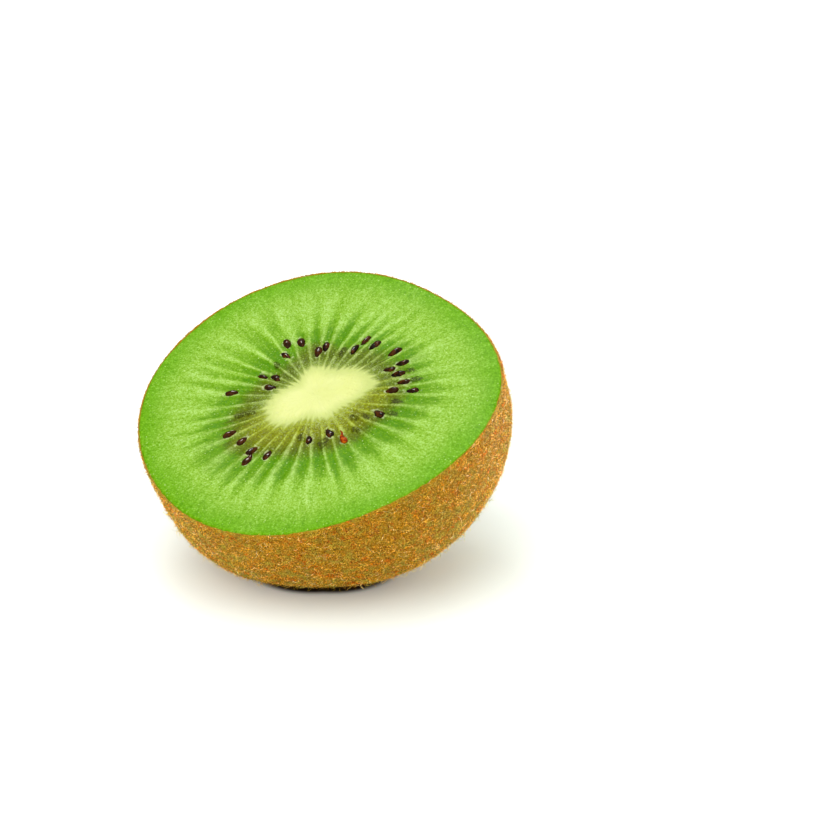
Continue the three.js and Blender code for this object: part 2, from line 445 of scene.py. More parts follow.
def flesh_piece():
    angle = LOCULE_TURN + TAU * np.arange(COLUMNS) / COLUMNS
    reach = rim_reach(angle, FLESH_INSET)
    share = np.interp(np.linspace(0, 1, FACE_ROWS + 1)[1:, None], *ROW_SHARES)
    away = share * reach
    grid_angle = np.broadcast_to(angle, away.shape)
    masks, relief = face_pattern(grid_angle, away, np.broadcast_to(reach, away.shape))
    x = CORE_OFFSET[0] + away * np.cos(angle)
    y = CORE_OFFSET[1] + away * np.sin(angle)
    face = np.stack([x, y, relief], -1)

    around = np.arctan2(y[-1], x[-1])
    down = np.linspace(0, math.pi / 2, WALL_ROWS + 2)[1:-1, None]
    around, down = np.broadcast_arrays(around, down)
    below = skin_points(around, down) - WALL_INSET * skin_normals(around, down)
    rings = np.concatenate([face, below])
    end = np.array([*END_OFFSET, WALL_INSET - BODY_DEPTH])
    middle = np.array([*CORE_OFFSET, relief[0].mean()])
    points, faces = closed_form(rings, middle, end)

    values = {}
    for key, mask in masks.items():
        hidden = np.broadcast_to(mask[-1], down.shape)
        whole = np.concatenate([mask, hidden]).ravel()
        values[key] = np.concatenate([[mask[0].mean()], whole, [mask[-1].mean()]])
    direction = np.stack([np.cos(angle), np.sin(angle)], -1)
    rays = np.broadcast_to(direction, (len(rings), COLUMNS, 2)).reshape(-1, 2)
    rays = np.concatenate([[[0, 0]], rays, [[0, 0]]])
    values["rays"] = np.concatenate([rays, values["share"][:, None]], 1)
    return mesh_piece("flesh_and_core", placed(points, WALL_INSET), faces, values)


# ---- Skin ----

SKIN_COLUMNS = 560
SKIN_ROWS = 72
LINING_ROWS = 10
SKIN_LIP = 0.13
FELT_HEIGHT = 0.2  # the hairs' tips, not the skin under them, lie at the part's surface


def skin_lift(points):
    """How far the outside of the skin stands out from the plain form, in mm."""
    low = smooth(0, -4, points[..., 2])
    waves = 0.05 * ripples(points, 2.2, 21) + 0.03 * ripples(points, 0.8, 22)
    swell = 0.06 * ripples(points, 9, 23) - FELT_HEIGHT
    return waves * smooth(0, -1, points[..., 2]) + swell * low + collar(points)


def skin_piece():
    angle = TAU * np.arange(SKIN_COLUMNS) / SKIN_COLUMNS
    quarter = math.pi / 2
    around, down = np.broadcast_arrays(angle, quarter * np.linspace(0.004, 1, SKIN_ROWS + 1)[:-1, None])
    outer = skin_points(around, down)
    outer = outer + skin_normals(around, down) * skin_lift(outer)[..., None]

    edge = skin_points(angle, np.zeros(SKIN_COLUMNS))
    inward = np.stack([np.cos(angle), np.sin(angle), 0 * angle], -1)
    ragged = 0.05 * ripples(edge, 1.1, 24) + 0.04 * ripples(edge, 0.5, 25)

    def edge_ring(inset, depth):
        ring = edge - inset * inward
        ring[:, 2] = depth + ragged
        return ring

    lip = [edge_ring(0.04, -0.02), edge_ring(SKIN_LIP, -0.06), edge_ring(SKIN_THICKNESS, -0.3)]

    around, down = np.broadcast_arrays(angle, quarter * np.linspace(0, 1, LINING_ROWS + 2)[1:-1, None])
    lining = skin_points(around, down) - SKIN_THICKNESS * skin_normals(around, down)
    rings = np.concatenate([outer[::-1], lip, lining])
    end = np.array([*END_OFFSET, -BODY_DEPTH])
    tip = end - [0, 0, COLLAR_HEIGHT - COLLAR_HOLLOW]
    points, faces = closed_form(rings, tip, end + [0, 0, SKIN_THICKNESS])

    lip_from = 1 + outer.shape[0] * SKIN_COLUMNS
    lining_from = lip_from + len(lip) * SKIN_COLUMNS
    rim = smooth(-1.2, 0, points[:, 2])
    moved = placed(points)
    moved[lining_from:] = placed(points[lining_from:], SKIN_THICKNESS)
    return mesh_piece("skin", moved, faces, {"rim": rim})


# ---- Seeds as pieces ----

SEED_RINGS = 14
SEED_AROUND = 18
TAIL_RINGS = 9
TAIL_AROUND = 8
TAIL_START = 0.55
TAIL_LENGTH = 1.3
TAIL_WIDTH, TAIL_TIP = 0.2, 0.07


def seed_form(length, width, height, seed):
    """A seed along x, pointed towards -x: rings of points and its two end points."""
    draw = np.random.default_rng(seed)
    turn = math.pi * np.linspace(0, 1, SEED_RINGS + 2)[1:-1, None]
    around = TAU * np.arange(SEED_AROUND) / SEED_AROUND
    along = np.broadcast_to(-np.cos(turn), (SEED_RINGS, SEED_AROUND))
    fat = np.sin(turn) * (1 + 0.24 * along) * (1 - 0.1 * along**2)
    y = fat * np.cos(around)
    z = fat * np.sin(around)
    rings = np.stack([along, y, z], -1) * [length / 2, width / 2, height / 2]
    skew = draw.uniform(-0.1, 0.1)
    rings[..., 1] += skew * rings[..., 0] ** 2
    pits = 1 + 0.03 * ripples(rings, 0.28, seed) + 0.06 * ripples(rings, 0.9, seed + 1)
    rings = rings * pits[..., None]
    return rings, np.array([-length * 0.53, 0, 0]), np.array([length * 0.5, 0, 0])


def seeds_piece(name, kinds, scale, lift):
    draw = np.random.default_rng(5)
    all_points, all_faces, tones, count = [], [], [], 0
    for number, (kind, angle, distance, twist) in enumerate(SEEDS):
        size = scale * draw.uniform((0.98, 0.82, 0.9), (1.2, 1.14, 1.1))
        roll = draw.uniform(-0.35, 0.35)
        nod = draw.uniform(-0.16, 0.16)
        depth = draw.uniform(-0.1, 0.1)
        if kind not in kinds:
            continue
        rings, first, last = seed_form(*(size * SEED_SIZE), 100 + 2 * number)
        points, faces = closed_form(rings, first, last)
        turn = Matrix.Rotation(angle, 3, "Z") @ Matrix.Rotation(twist, 3, "Z")
        turn = turn @ Matrix.Rotation(nod, 3, "Y") @ Matrix.Rotation(roll, 3, "X")
        middle = np.array([
            CORE_OFFSET[0] + distance * math.cos(angle),
            CORE_OFFSET[1] + distance * math.sin(angle),
            lift + depth - SEED_SUNK[kind],
        ])
        all_points.append(points @ np.array(turn).T + middle)
        all_faces.append([f + count for f in faces])
        tones.append(np.full(len(points), draw.uniform(0, 1)))
        count += len(points)
    faces = [np.concatenate(group) for group in zip(*all_faces)]
    points = placed(np.concatenate(all_points))
    return mesh_piece(name, points, faces, {"tone": np.concatenate(tones)})


def tail_piece():
    """The thin stalk that runs from the red seed towards the core."""
    angle, distance = next((a, d) for kind, a, d, _ in SEEDS if kind == "R")
    spokes = TAU * np.arange(TAIL_AROUND) / TAIL_AROUND
    rings = []
    for share in np.linspace(0, 1, TAIL_RINGS):
        away = distance - TAIL_START - TAIL_LENGTH * share
        turn = angle + 0.035 * math.sin(2.2 * share)
        width = TAIL_WIDTH * (1 - share) ** 1.3 + TAIL_TIP
        outward = np.array([math.cos(turn), math.sin(turn), 0])
        aside = np.array([-outward[1], outward[0], 0])
        centre = away * outward + [*CORE_OFFSET, 0.02 - 0.06 * share]
        ring = np.cos(spokes)[:, None] * aside + np.sin(spokes)[:, None] * [0, 0, 0.8]
        rings.append(centre + width * ring)
    rings = np.array(rings)
    first, last = rings[0].mean(0), rings[-1].mean(0)
    points, faces = closed_form(rings, first + 0.05 * outward, last - 0.05 * outward)
    return mesh_piece("red_seed_tail", placed(points), faces, {"tone": np.zeros(len(points))})


# ---- Hairs ----

TABLE_GAP = 0.25  # no hairs grow where the skin is lower than this
ROOT_SINK = 0.04
HAIR_SWIRL, HAIR_SPREAD = 0.4, 0.5  # radians that hairs stray from the girth, in groups and singly
HAIR_TAPER = 0.4
HAIR_CORNERS = 3


def skin_spots(count, draw):
    """Places spread evenly over the skin, as (angle, down)."""
    rows, columns = 240, 480
    down = np.linspace(0, math.pi / 2, rows + 1)
    angle = np.linspace(0, TAU, columns + 1)
    grid = skin_points(angle[None], down[:, None])
    side = np.linalg.norm(grid[:-1, 1:] - grid[:-1, :-1], axis=-1)
    side = (side + np.linalg.norm(grid[1:, 1:] - grid[1:, :-1], axis=-1)) / 2
    area = side * np.linalg.norm(grid[1:, 1:] - grid[:-1, 1:], axis=-1)
    cell = draw.choice(area.size, count, p=area.ravel() / area.sum())
    row, column = np.divmod(cell, columns)
    at_down = down[row] + draw.uniform(0, 1, count) * (down[1] - down[0])
    at_angle = angle[column] + draw.uniform(0, 1, count) * (angle[1] - angle[0])
    return at_angle, at_down


def hair_roots(count, draw):
    """Where each hair leaves the skin, which way is out there and which way it lies."""
    angle, down = skin_spots(count, draw)
    root = skin_points(angle, down)
    normal = skin_normals(angle, down)
    keep = placed(root)[:, 2] > TABLE_GAP
    root, normal, angle = root[keep], normal[keep], angle[keep]
    root = root + (skin_lift(root) - ROOT_SINK)[:, None] * normal
    count = len(root)

    # Hairs lie along the fruit's girth more often than along its length.
    girth = np.stack([-np.sin(angle), np.cos(angle), 0 * angle], -1)
    girth = unit(girth - (girth * normal).sum(-1, keepdims=True) * normal)
    length_wise = np.cross(normal, girth)
    swirl = HAIR_SWIRL * ripples(root, 6, 61)[:, None]
    stray = HAIR_SPREAD * draw.normal(size=(count, 1))
    turn = swirl + stray + math.pi * draw.integers(0, 2, (count, 1))
    return root, normal, np.cos(turn) * girth + np.sin(turn) * length_wise


def hair_lines(root, normal, flat, length, rise, bend, curl, steps, draw):
    """The middle line of each hair, as steps + 1 points, and its direction at each."""
    count = len(root)
    up = np.radians(draw.uniform(*rise, count))[:, None]
    heading = np.cos(up) * flat + np.sin(up) * normal
    long = draw.uniform(*length, count)[:, None]
    back = np.radians(draw.uniform(*bend, count))[:, None] / steps
    sideways = np.radians(draw.uniform(*curl, count))[:, None] / steps
    sideways = sideways * np.where(draw.uniform(size=(count, 1)) < 0.5, -1, 1)

    line, headings = [root], [heading]
    for _ in range(steps):
        line.append(line[-1] + heading * long / steps)
        across = unit(np.cross(normal, heading))
        heading = unit(heading + np.tan(sideways) * across - np.tan(back) * normal)
        headings.append(heading)
    tangent = np.stack([headings[0]] + [unit(a + b) for a, b in zip(headings, headings[1:])])
    return line, tangent


def hair_points(line, tangent, normal, flat, thickness):
    """The points of each hair: three corners round its line at each step, and its tip."""
    steps = len(line) - 1
    reference = unit(normal + 0.4 * np.cross(normal, flat))
    sections = []
    for k in range(steps):
        taper = 1 - HAIR_TAPER * k / steps
        one = unit(reference - (reference * tangent[k]).sum(-1, keepdims=True) * tangent[k])
        two = np.cross(tangent[k], one)
        for corner in range(HAIR_CORNERS):
            turn = TAU * corner / HAIR_CORNERS
            spoke = math.cos(turn) * one + math.sin(turn) * two
            sections.append(line[k] + thickness * taper * spoke)
    return np.stack([*sections, line[steps]], 1)


def hair_faces(count, steps):
    """The triangles of all hairs, each closed at its root and pointed at its tip."""
    each = HAIR_CORNERS * steps + 1
    pattern = [[0, 2, 1]]
    for k in range(steps - 1):
        for corner in range(HAIR_CORNERS):
            a = HAIR_CORNERS * k + corner
            b = HAIR_CORNERS * k + (corner + 1) % HAIR_CORNERS
            pattern += [[a, b, b + HAIR_CORNERS], [a, b + HAIR_CORNERS, a + HAIR_CORNERS]]
    last = HAIR_CORNERS * (steps - 1)
    for corner in range(HAIR_CORNERS):
        pattern += [[last + corner, last + (corner + 1) % HAIR_CORNERS, each - 1]]
    return (np.arange(count)[:, None, None] * each + np.array(pattern)).reshape(-1, 3)


def hair_piece(name, count, seed, length, radius, rise, bend, curl, steps):
    """A piece of many hairs: each leaves the skin at an angle of rise, bends back and curls sideways.
    length, rise, bend and curl are (least, most), the last three in degrees."""
    draw = np.random.default_rng(seed)
    root, normal, flat = hair_roots(count, draw)
    count = len(root)
    line, tangent = hair_lines(root, normal, flat, length, rise, bend, curl, steps, draw)
    thickness = radius * draw.uniform(0.75, 1.25, count)[:, None]
    points = hair_points(line, tangent, normal, flat, thickness)

    # Rust and dark hairs stand in small groups, so that the skin looks flecked; long ones are pale.
    curled, long = steps > 1, steps > 3
    group = ripples(root, 1.2, 62) + 0.5 * ripples(root, 4, 63) - 0.5 * curled - 0.5 * long
    rusty = smooth(0.6, 1.1, group + 0.4 * draw.normal(size=count))
    group = ripples(root, 0.7, 64) - 0.4 * curled
    shadowy = smooth(0.9, 1.5, group + 0.4 * draw.normal(size=count))
    along = np.array([k / steps for k in range(steps) for _ in range(HAIR_CORNERS)] + [1.0])
    each = len(along)
    values = {
        "tone": np.repeat(draw.uniform(0, 1, count), each),
        "rusty": np.repeat(rusty, each),
        "shadowy": np.repeat(shadowy, each),
        "along": np.tile(along, count),
    }
    return mesh_piece(name, placed(points.reshape(-1, 3), radius), [hair_faces(count, steps)], values)


STRANDS = 34
STRAND_RINGS = 5
STRAND_AROUND = 5
STRAND_SPREAD = 1.5


def blossom_piece():
    """The dried remains of the flower in the collar: a tuft of stiff, dark, bent strands."""
    draw = np.random.default_rng(31)
    end = np.array([*END_OFFSET, -BODY_DEPTH - COLLAR_HEIGHT + COLLAR_HOLLOW])
    all_points, all_faces, count = [], [], 0
    for _ in range(STRANDS):
        turn = draw.uniform(0, TAU)
        out = STRAND_SPREAD * math.sqrt(draw.uniform(0, 1))
        start = end + [out * math.cos(turn), out * math.sin(turn), 0.15]
        lean = draw.uniform(0.2, 1.1)
        heading = np.array([math.cos(turn) * lean, math.sin(turn) * lean, -1.0])
        length = draw.uniform(0.9, 1.7)
        width = draw.uniform(0.09, 0.2)
        rings = []
        place = start
        for k in range(STRAND_RINGS):
            heading = unit(heading + 0.35 * draw.normal(size=3))
            one = unit(np.cross(heading, [0.3, 0.2, 1.0]))
            two = np.cross(heading, one) * 0.5
            spokes = TAU * np.arange(STRAND_AROUND) / STRAND_AROUND
            ring = np.cos(spokes)[:, None] * one + np.sin(spokes)[:, None] * two
            rings.append(place + width * (1 - 0.6 * k / STRAND_RINGS) * ring)
            place = place + heading * length / STRAND_RINGS
        points, faces = closed_form(np.array(rings), start - 0.05 * heading, place)
        all_points.append(points)
        all_faces.append([f + count for f in faces])
        count += len(points)
    faces = [np.concatenate(group) for group in zip(*all_faces)]
    return mesh_piece("blossom_end", placed(np.concatenate(all_points), 0.05), faces)


# ---- Materials ----
# The scale of a noise is in waves a metre: 4300 gives grains of about a quarter of a millimetre.


def colour(red, green, blue):
    """A colour from its 0 to 255 sRGB numbers, as linear RGBA."""
    channels = [c / 255 for c in (red, green, blue)]
    linear = [c / 12.92 if c <= 0.04045 else ((c + 0.055) / 1.055) ** 2.4 for c in channels]
    return (*linear, 1.0)


class Surface:
    """A material with one Principled shader, and short calls for the nodes that feed it."""

    def __init__(self, name):
        self.material = bpy.data.materials.new(name)
        self.material.use_nodes = True
        self.tree = self.material.node_tree
        self.shader = self.tree.nodes["Principled BSDF"]

    def node(self, kind, **settings):
        made = self.tree.nodes.new("ShaderNode" + kind)
        for key, value in settings.items():
            setattr(made, key, value)
        return made

    def feed(self, socket, value):
        if isinstance(value, bpy.types.NodeSocket):
            self.tree.links.new(value, socket)
        else:
            socket.default_value = value

    def set(self, **inputs):
        for key, value in inputs.items():
            self.feed(self.shader.inputs[key.replace("_", " ")], value)

    def value(self, name):
        return self.node("Attribute", attribute_name=name).outputs["Fac"]

    def vector(self, name):
        return self.node("Attribute", attribute_name=name).outputs["Vector"]

    def place(self):
        return self.node("TexCoord").outputs["Object"]

    def math(self, operation, first, second=0.0, clamp=False):
        made = self.node("Math", operation=operation, use_clamp=clamp)
        self.feed(made.inputs[0], first)
        self.feed(made.inputs[1], second)
        return made.outputs[0]

    def range(self, value, low, high, to_low=0.0, to_high=1.0):
        made = self.node("MapRange", interpolation_type="SMOOTHSTEP")
        for index, number in enumerate((value, low, high, to_low, to_high)):
            self.feed(made.inputs[index], number)
        return made.outputs[0]

    def distance(self, vector, point):
        made = self.node("VectorMath", operation="DISTANCE")
        self.feed(made.inputs[0], vector)
        made.inputs[1].default_value = tuple(point * MM)
        return made.outputs["Value"]

    def scaled(self, vector, scale):
        made = self.node("VectorMath", operation="MULTIPLY")
        self.feed(made.inputs[0], vector)
        made.inputs[1].default_value = scale
        return made.outputs[0]

    def noise(self, vector, scale, detail=2.0, roughness=0.5, distortion=0.0):
        made = self.node("TexNoise")
        self.feed(made.inputs["Vector"], vector)
        made.inputs["Scale"].default_value = scale
        made.inputs["Detail"].default_value = detail
        made.inputs["Roughness"].default_value = roughness
        made.inputs["Distortion"].default_value = distortion
        return made.outputs["Fac"]

    def voronoi(self, vector, scale):
        """How far each point is from the nearest of the scattered points, and that one's own number."""
        made = self.node("TexVoronoi")
        self.feed(made.inputs["Vector"], vector)
        made.inputs["Scale"].default_value = scale
        split = self.node("SeparateColor")
        self.feed(split.inputs[0], made.outputs["Color"])
        return made.outputs["Distance"], split.outputs[0]

    def centred(self, noise):
        return self.math("SUBTRACT", noise, 0.5)

    def total(self, terms):
        """The sum of values, each times a number."""
        running = None
        for value, weight in terms:
            made = self.node("Math", operation="MULTIPLY_ADD")
            self.feed(made.inputs[0], value)
            made.inputs[1].default_value = weight
            self.feed(made.inputs[2], 0.0 if running is None else running)
            running = made.outputs[0]
        return running

    def mix(self, amount, first, second, blend="MIX"):
        made = self.node("Mix", data_type="RGBA", blend_type=blend)
        self.feed(made.inputs[0], amount)
        self.feed(made.inputs[6], first)
        self.feed(made.inputs[7], second)
        return made.outputs[2]

    def ramp(self, value, stops):
        made = self.node("ValToRGB")
        self.feed(made.inputs[0], value)
        elements = made.color_ramp.elements
        while len(elements) < len(stops):
            elements.new(0.5)
        for element, (position, shade) in zip(elements, stops):
            element.position = position
            element.color = shade
        return made.outputs[0]

    def tones(self, value, dark, middle, light):
        """Dark at 0, middle at a half and light at 1."""
        shades = [colour(*shade) for shade in (dark, middle, light)]
        return self.ramp(value, list(zip((0.0, 0.5, 1.0), shades)))

    def bump(self, height, strength, distance):
        made = self.node("Bump")
        made.inputs["Strength"].default_value = strength
        made.inputs["Distance"].default_value = distance
        self.feed(made.inputs["Height"], height)
        return made.outputs[0]


def flesh_zones(s, tone, fibres, clouds):
    """Four zones from the core to the rim, each with its own dark, middle and light tone. The first
    is olive, and gold on the yellower side."""
    share, beyond = s.value("share"), s.value("beyond")
    chamber, wall, golden = s.value("chamber"), s.value("wall"), s.value("golden")
    olive = s.tones(tone, (84, 102, 0), (114, 137, 20), (162, 184, 92))
    gold = s.tones(tone, (116, 120, 0), (150, 162, 6), (190, 202, 70))
    vivid = s.tones(tone, (84, 144, 0), (114, 164, 8), (156, 204, 78))
    fresh = s.tones(tone, (108, 163, 0), (150, 199, 61), (187, 227, 121))
    rim = s.tones(tone, (84, 150, 0), (112, 176, 6), (144, 204, 56))

    jitter = s.total([(s.centred(clouds), 2.8), (s.centred(fibres), 3.0), (golden, -2.4)])
    inner = s.total([(beyond, 1.0), (jitter, 1.0)])
    outer = s.total([(inner, 1.0), (chamber, -1.6), (wall, 1.0), (golden, -1.4)])
    yellowed = s.math("MULTIPLY", golden, s.range(inner, 3.4, -0.4))
    body = s.mix(yellowed, olive, gold)
    body = s.mix(s.range(inner, 2.6, 5.4), body, vivid)
    body = s.mix(s.range(outer, 4.6, 9.4), body, fresh)
    edge = s.total([(share, 1.0), (s.centred(clouds), 0.12)])
    body = s.mix(s.range(edge, 0.78, 1.0), body, rim)

    # The flesh is a little paler next to the core and at the walls.
    body = s.mix(s.range(beyond, 2.0, 0.0, 0.0, 0.14), body, colour(196, 210, 112))
    whitened = s.math("MULTIPLY", wall, s.range(outer, 10.0, 5.0, 0.0, 0.34))
    return s.mix(whitened, body, colour(200, 222, 148))


def with_film(s, body, place, clouds):
    """A thin crinkled film lies in places round the core."""
    crinkle = s.noise(place, 1000, 2, 0.6, 1.2)
    creases = s.range(s.math("ABSOLUTE", s.centred(crinkle)), 0.035, 0.0)
    near = s.range(s.value("beyond"), 4.5, 0.6)
    cover = s.math("MULTIPLY", near, s.range(clouds, 0.4, 0.6, 0.1, 0.55))
    return s.mix(s.math("MULTIPLY", creases, cover), body, colour(190, 206, 140))


def with_core(s, body, fibres, clouds):
    """The pale core, a little greener along its fibres and at its edge."""
    pith = s.mix(s.range(clouds, 0.3, 0.7), colour(232, 238, 150), colour(239, 244, 163))
    pith = s.mix(s.range(fibres, 0.35, 0.7, 0.0, 0.3), pith, colour(222, 231, 136))
    pith = s.mix(s.range(s.value("beyond"), -3.2, -0.2), pith, colour(206, 219, 128))
    return s.mix(s.value("core"), body, pith)


def with_seed_marks(s, body, place, cells):
    """Dark shadows of the covered seeds, and pale torn rims round the open ones."""
    veil = s.math("MULTIPLY", s.value("veil"), s.range(cells, 0.3, 0.7, 0.9, 0.4))
    body = s.mix(veil, body, colour(52, 50, 12))
    torn = s.range(s.noise(place, 1500, 2, 0.6), 0.46, 0.64, 0.0, 0.75)
    return s.mix(s.math("MULTIPLY", s.value("halo"), torn), body, colour(206, 218, 160))


def flesh_surface():
    """The cut flesh and core. The tone comes from the locules, the walls, the fibres that run
    outwards and the grain of the cells."""
    s = Surface("cut_flesh")
    rays, place = s.vector("rays"), s.place()
    fibres = s.noise(s.scaled(rays, (1, 1, 0.25)), 46, 3, 0.65)
    threads = s.noise(s.scaled(rays, (1, 1, 0.6)), 150, 1, 0.5)
    cells = s.noise(place, 4300, 1, 0.6)
    lumps = s.noise(place, 2200, 2, 0.55)
    clouds = s.noise(place, 230, 2, 0.5)
    tone = s.total([
        (0.46, 1.0),
        (s.value("wall"), 0.52),
        (s.value("chamber"), -0.46),
        (s.centred(fibres), 0.8),
        (s.centred(threads), 0.45),
        (s.centred(cells), 1.5),
        (s.centred(lumps), 0.95),
    ])
    body = flesh_zones(s, tone, fibres, clouds)
    body = with_film(s, body, place, clouds)
    body = with_core(s, body, fibres, clouds)
    body = with_seed_marks(s, body, place, cells)

    # Single juice cells, pale, and painted lighter as highlights where wet cells would catch the light.
    spread, own = s.voronoi(place, 2300)
    pale_cells_and_painted_glints = s.math("MULTIPLY", s.range(spread, 0.34, 0.12), s.range(own, 0.55, 0.75))
    pale_cells_and_painted_glints = s.math("MULTIPLY", pale_cells_and_painted_glints, s.math("SUBTRACT", 1.0, s.value("core"), clamp=True))
    body = s.mix(s.math("MULTIPLY", pale_cells_and_painted_glints, 0.4), body, colour(206, 240, 130))
    # Painted highlights: a few brighter glints of wet juice cells.
    painted_glint = s.math("MULTIPLY", s.range(spread, 0.26, 0.1), s.range(own, 0.88, 0.92, 0.0, 0.4))
    body = s.mix(painted_glint, body, colour(232, 250, 170))

    height = s.total([(cells, 0.8), (fibres, 0.5), (pale_cells_and_painted_glints, 0.6)])
    s.set(
        Base_Color=body,
        Roughness=s.range(clouds, 0.3, 0.7, 0.32, 0.42),
        Normal=s.bump(height, 0.45, 0.00014),
        Subsurface_Weight=0.22,
        Subsurface_Scale=0.0007,
    )
    s.shader.inputs["Subsurface Radius"].default_value = (0.9, 1.0, 0.35)
    s.shader.inputs["Specular IOR Level"].default_value = 0.012
    return s.material


def skin_surface():
    """Brown skin with olive and rusty patches about 1 mm across, dark pores and a fine scurf."""
    s = Surface("hairy_skin")
    place = s.place()
    patches = s.noise(place, 520, 3, 0.6)
    flecks = s.noise(place, 1300, 2, 0.6, 0.4)
    pores = s.noise(place, 2900, 1, 0.6)
    scurf = s.noise(place, 6200, 0, 0.5)
    ground = s.ramp(patches, [
        (0.32, colour(132, 112, 8)),
        (0.46, colour(164, 116, 2)),
        (0.60, colour(176, 118, 0)),
        (0.72, colour(150, 124, 18)),
    ])
    ground = s.mix(s.range(flecks, 0.55, 0.66, 0.0, 0.85), ground, colour(196, 88, 0))
    ground = s.mix(s.range(scurf, 0.5, 0.72, 0.0, 0.7), ground, colour(236, 184, 76))
    ground = s.mix(s.range(scurf, 0.44, 0.28, 0.0, 0.6), ground, colour(104, 58, 0))
    ground = s.mix(s.range(pores, 0.42, 0.3, 0.0, 0.8), ground, colour(84, 42, 0))
    ground = s.mix(s.math("MULTIPLY", s.value("rim"), 0.6), ground, colour(196, 150, 24))
    s.set(
        Base_Color=ground,
        Roughness=s.range(patches, 0.3, 0.7, 0.62, 0.82),
        Normal=s.bump(s.total([(pores, 1.0), (scurf, 0.7)]), 0.7, 0.0002),
    )
    s.shader.inputs["Specular IOR Level"].default_value = 0.08
    return s.material


def hair_surface(name, shades):
    """Hairs, each of its own shade, dark at the root and pale at the tip. Rusty and shadowy ones
    stand in groups, olive ones in patches, and grit makes tufts of a few hairs lighter or darker."""
    s = Surface(name)
    place = s.place()
    own = s.ramp(s.value("tone"), [(0.08 + 0.28 * i, shade) for i, shade in enumerate(shades)])
    moss = s.range(s.noise(place, 560, 2, 0.5), 0.48, 0.58, 0.0, 0.8)
    own = s.mix(moss, own, colour(164, 159, 58))
    own = s.mix(s.math("MULTIPLY", s.value("rusty"), 0.9), own, colour(206, 86, 0))
    own = s.mix(s.math("MULTIPLY", s.value("shadowy"), 0.75), own, colour(98, 56, 0))
    patches = s.noise(place, 480, 2, 0.5)
    grit = s.noise(place, 4600, 1, 0.5)
    shade = s.mix(1.0, own, s.range(patches, 0.35, 0.65, 1.02, 1.28), "MULTIPLY")
    shade = s.mix(1.0, shade, s.range(grit, 0.3, 0.7, 0.1, 2.45), "MULTIPLY")
    along = s.value("along")
    shade = s.mix(1.0, shade, s.range(along, 0.0, 0.5, 0.5, 1.0), "MULTIPLY")
    shade = s.mix(s.range(along, 0.4, 1.0, 0.0, 0.38), shade, colour(255, 221, 92))
    s.set(
        Base_Color=shade,
        Roughness=s.range(s.value("tone"), 0, 1, 0.5, 0.7),
        Sheen_Weight=0.16,
        Sheen_Roughness=0.4,
        Sheen_Tint=colour(255, 214, 90),
    )
    s.shader.inputs["Specular IOR Level"].default_value = 0.03
    return s.material


def seed_surface(name, dark, warm, rough):
    s = Surface(name)
    place = s.place()
    pits = s.noise(place, 3800, 2, 0.6)
    clouds = s.noise(place, 1700, 2, 0.5)
    shade = s.mix(s.range(clouds, 0.46, 0.64), dark, warm)
    shade = s.mix(s.range(s.value("tone"), 0.3, 1.0, 0.0, 0.4), shade, warm)
    s.set(
        Base_Color=shade,
        Roughness=s.range(pits, 0.3, 0.7, rough, rough + 0.14),
        Normal=s.bump(pits, 0.5, 0.00008),
        Coat_Weight=0.14,
        Coat_Roughness=0.05,
    )
    s.shader.inputs["Specular IOR Level"].default_value = 0.02
    return s.material


def strand_surface():
    s = Surface("dry_strands")
    clouds = s.noise(s.place(), 1500, 3, 0.6)
    shade = s.ramp(clouds, [
        (0.3, colour(38, 24, 12)),
        (0.5, colour(82, 54, 26)),
        (0.7, colour(136, 98, 54)),
    ])
    s.set(Base_Color=shade, Roughness=s.range(clouds, 0.3, 0.7, 0.7, 0.9))
    return s.material


# The table's glow is painted light, and it is dimmed in a painted shadow behind the fruit. Where the body
# overhangs the foot, two dark discs, side by side, paint the contact shadow along the line of contact.
PAINTED_SHADE_MIDDLE = np.array([-2.4, 11.4, 0.0])
PAINTED_SHADE_INNER, PAINTED_SHADE_OUTER = 14.0, 41.0
PAINTED_SHADE_GLOW, TABLE_PAINTED_GLOW = 0.15, 0.62
CONTACT_SHADOW_MIDDLES = [FOOT_MIDDLE + [4.7, 2.1, 0], FOOT_MIDDLE + [2.6, 0.5, 0]]
CONTACT_SHADOW_INNER, CONTACT_SHADOW_OUTER = 8.0, 9.9


def floor_surface():
    """A white table that glows a little as painted light, so that it comes out as white as a lit studio
    ground, and less in a painted shadow behind the fruit; two dark discs paint the contact shadow.
    """
    s = Surface("white_table")
    place = s.place()
    clouds = s.noise(place, 3, 2, 0.5)
    # Painted light: the table glows, and glows less in a painted shadow behind the fruit.
    away = s.distance(place, PAINTED_SHADE_MIDDLE)
    painted_glow = s.range(away, PAINTED_SHADE_INNER * MM, PAINTED_SHADE_OUTER * MM, PAINTED_SHADE_GLOW, TABLE_PAINTED_GLOW)
    # Painted contact shadow: two dark discs in the table's colour, where the table does not glow either.
    near = s.math("MINIMUM", *[s.distance(place, middle) for middle in CONTACT_SHADOW_MIDDLES])
    painted_contact_shadow = s.range(near, CONTACT_SHADOW_INNER * MM, CONTACT_SHADOW_OUTER * MM)
    white = s.mix(clouds, colour(231, 245, 236), colour(234, 248, 239))
    s.set(
        Base_Color=s.mix(painted_contact_shadow, colour(56, 40, 22), white),
        Roughness=s.range(clouds, 0.3, 0.7, 0.5, 0.6),
        Emission_Color=colour(255, 255, 255),
        Emission_Strength=s.math("MULTIPLY", painted_glow, painted_contact_shadow),
    )
    return s.material


# ---- Putting the pieces together ----


PIECES = []


def finish_piece(piece, material):
    """Give a piece its material and slot, and fix it to the part's one body."""
    PIECES.append(piece)
    piece.data.materials.append(material)
    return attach(piece, "root")


flesh = finish_piece(flesh_piece(), flesh_surface())
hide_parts("flesh", "core")
finish_piece(skin_piece(), skin_surface())
finish_piece(blossom_piece(), strand_surface())

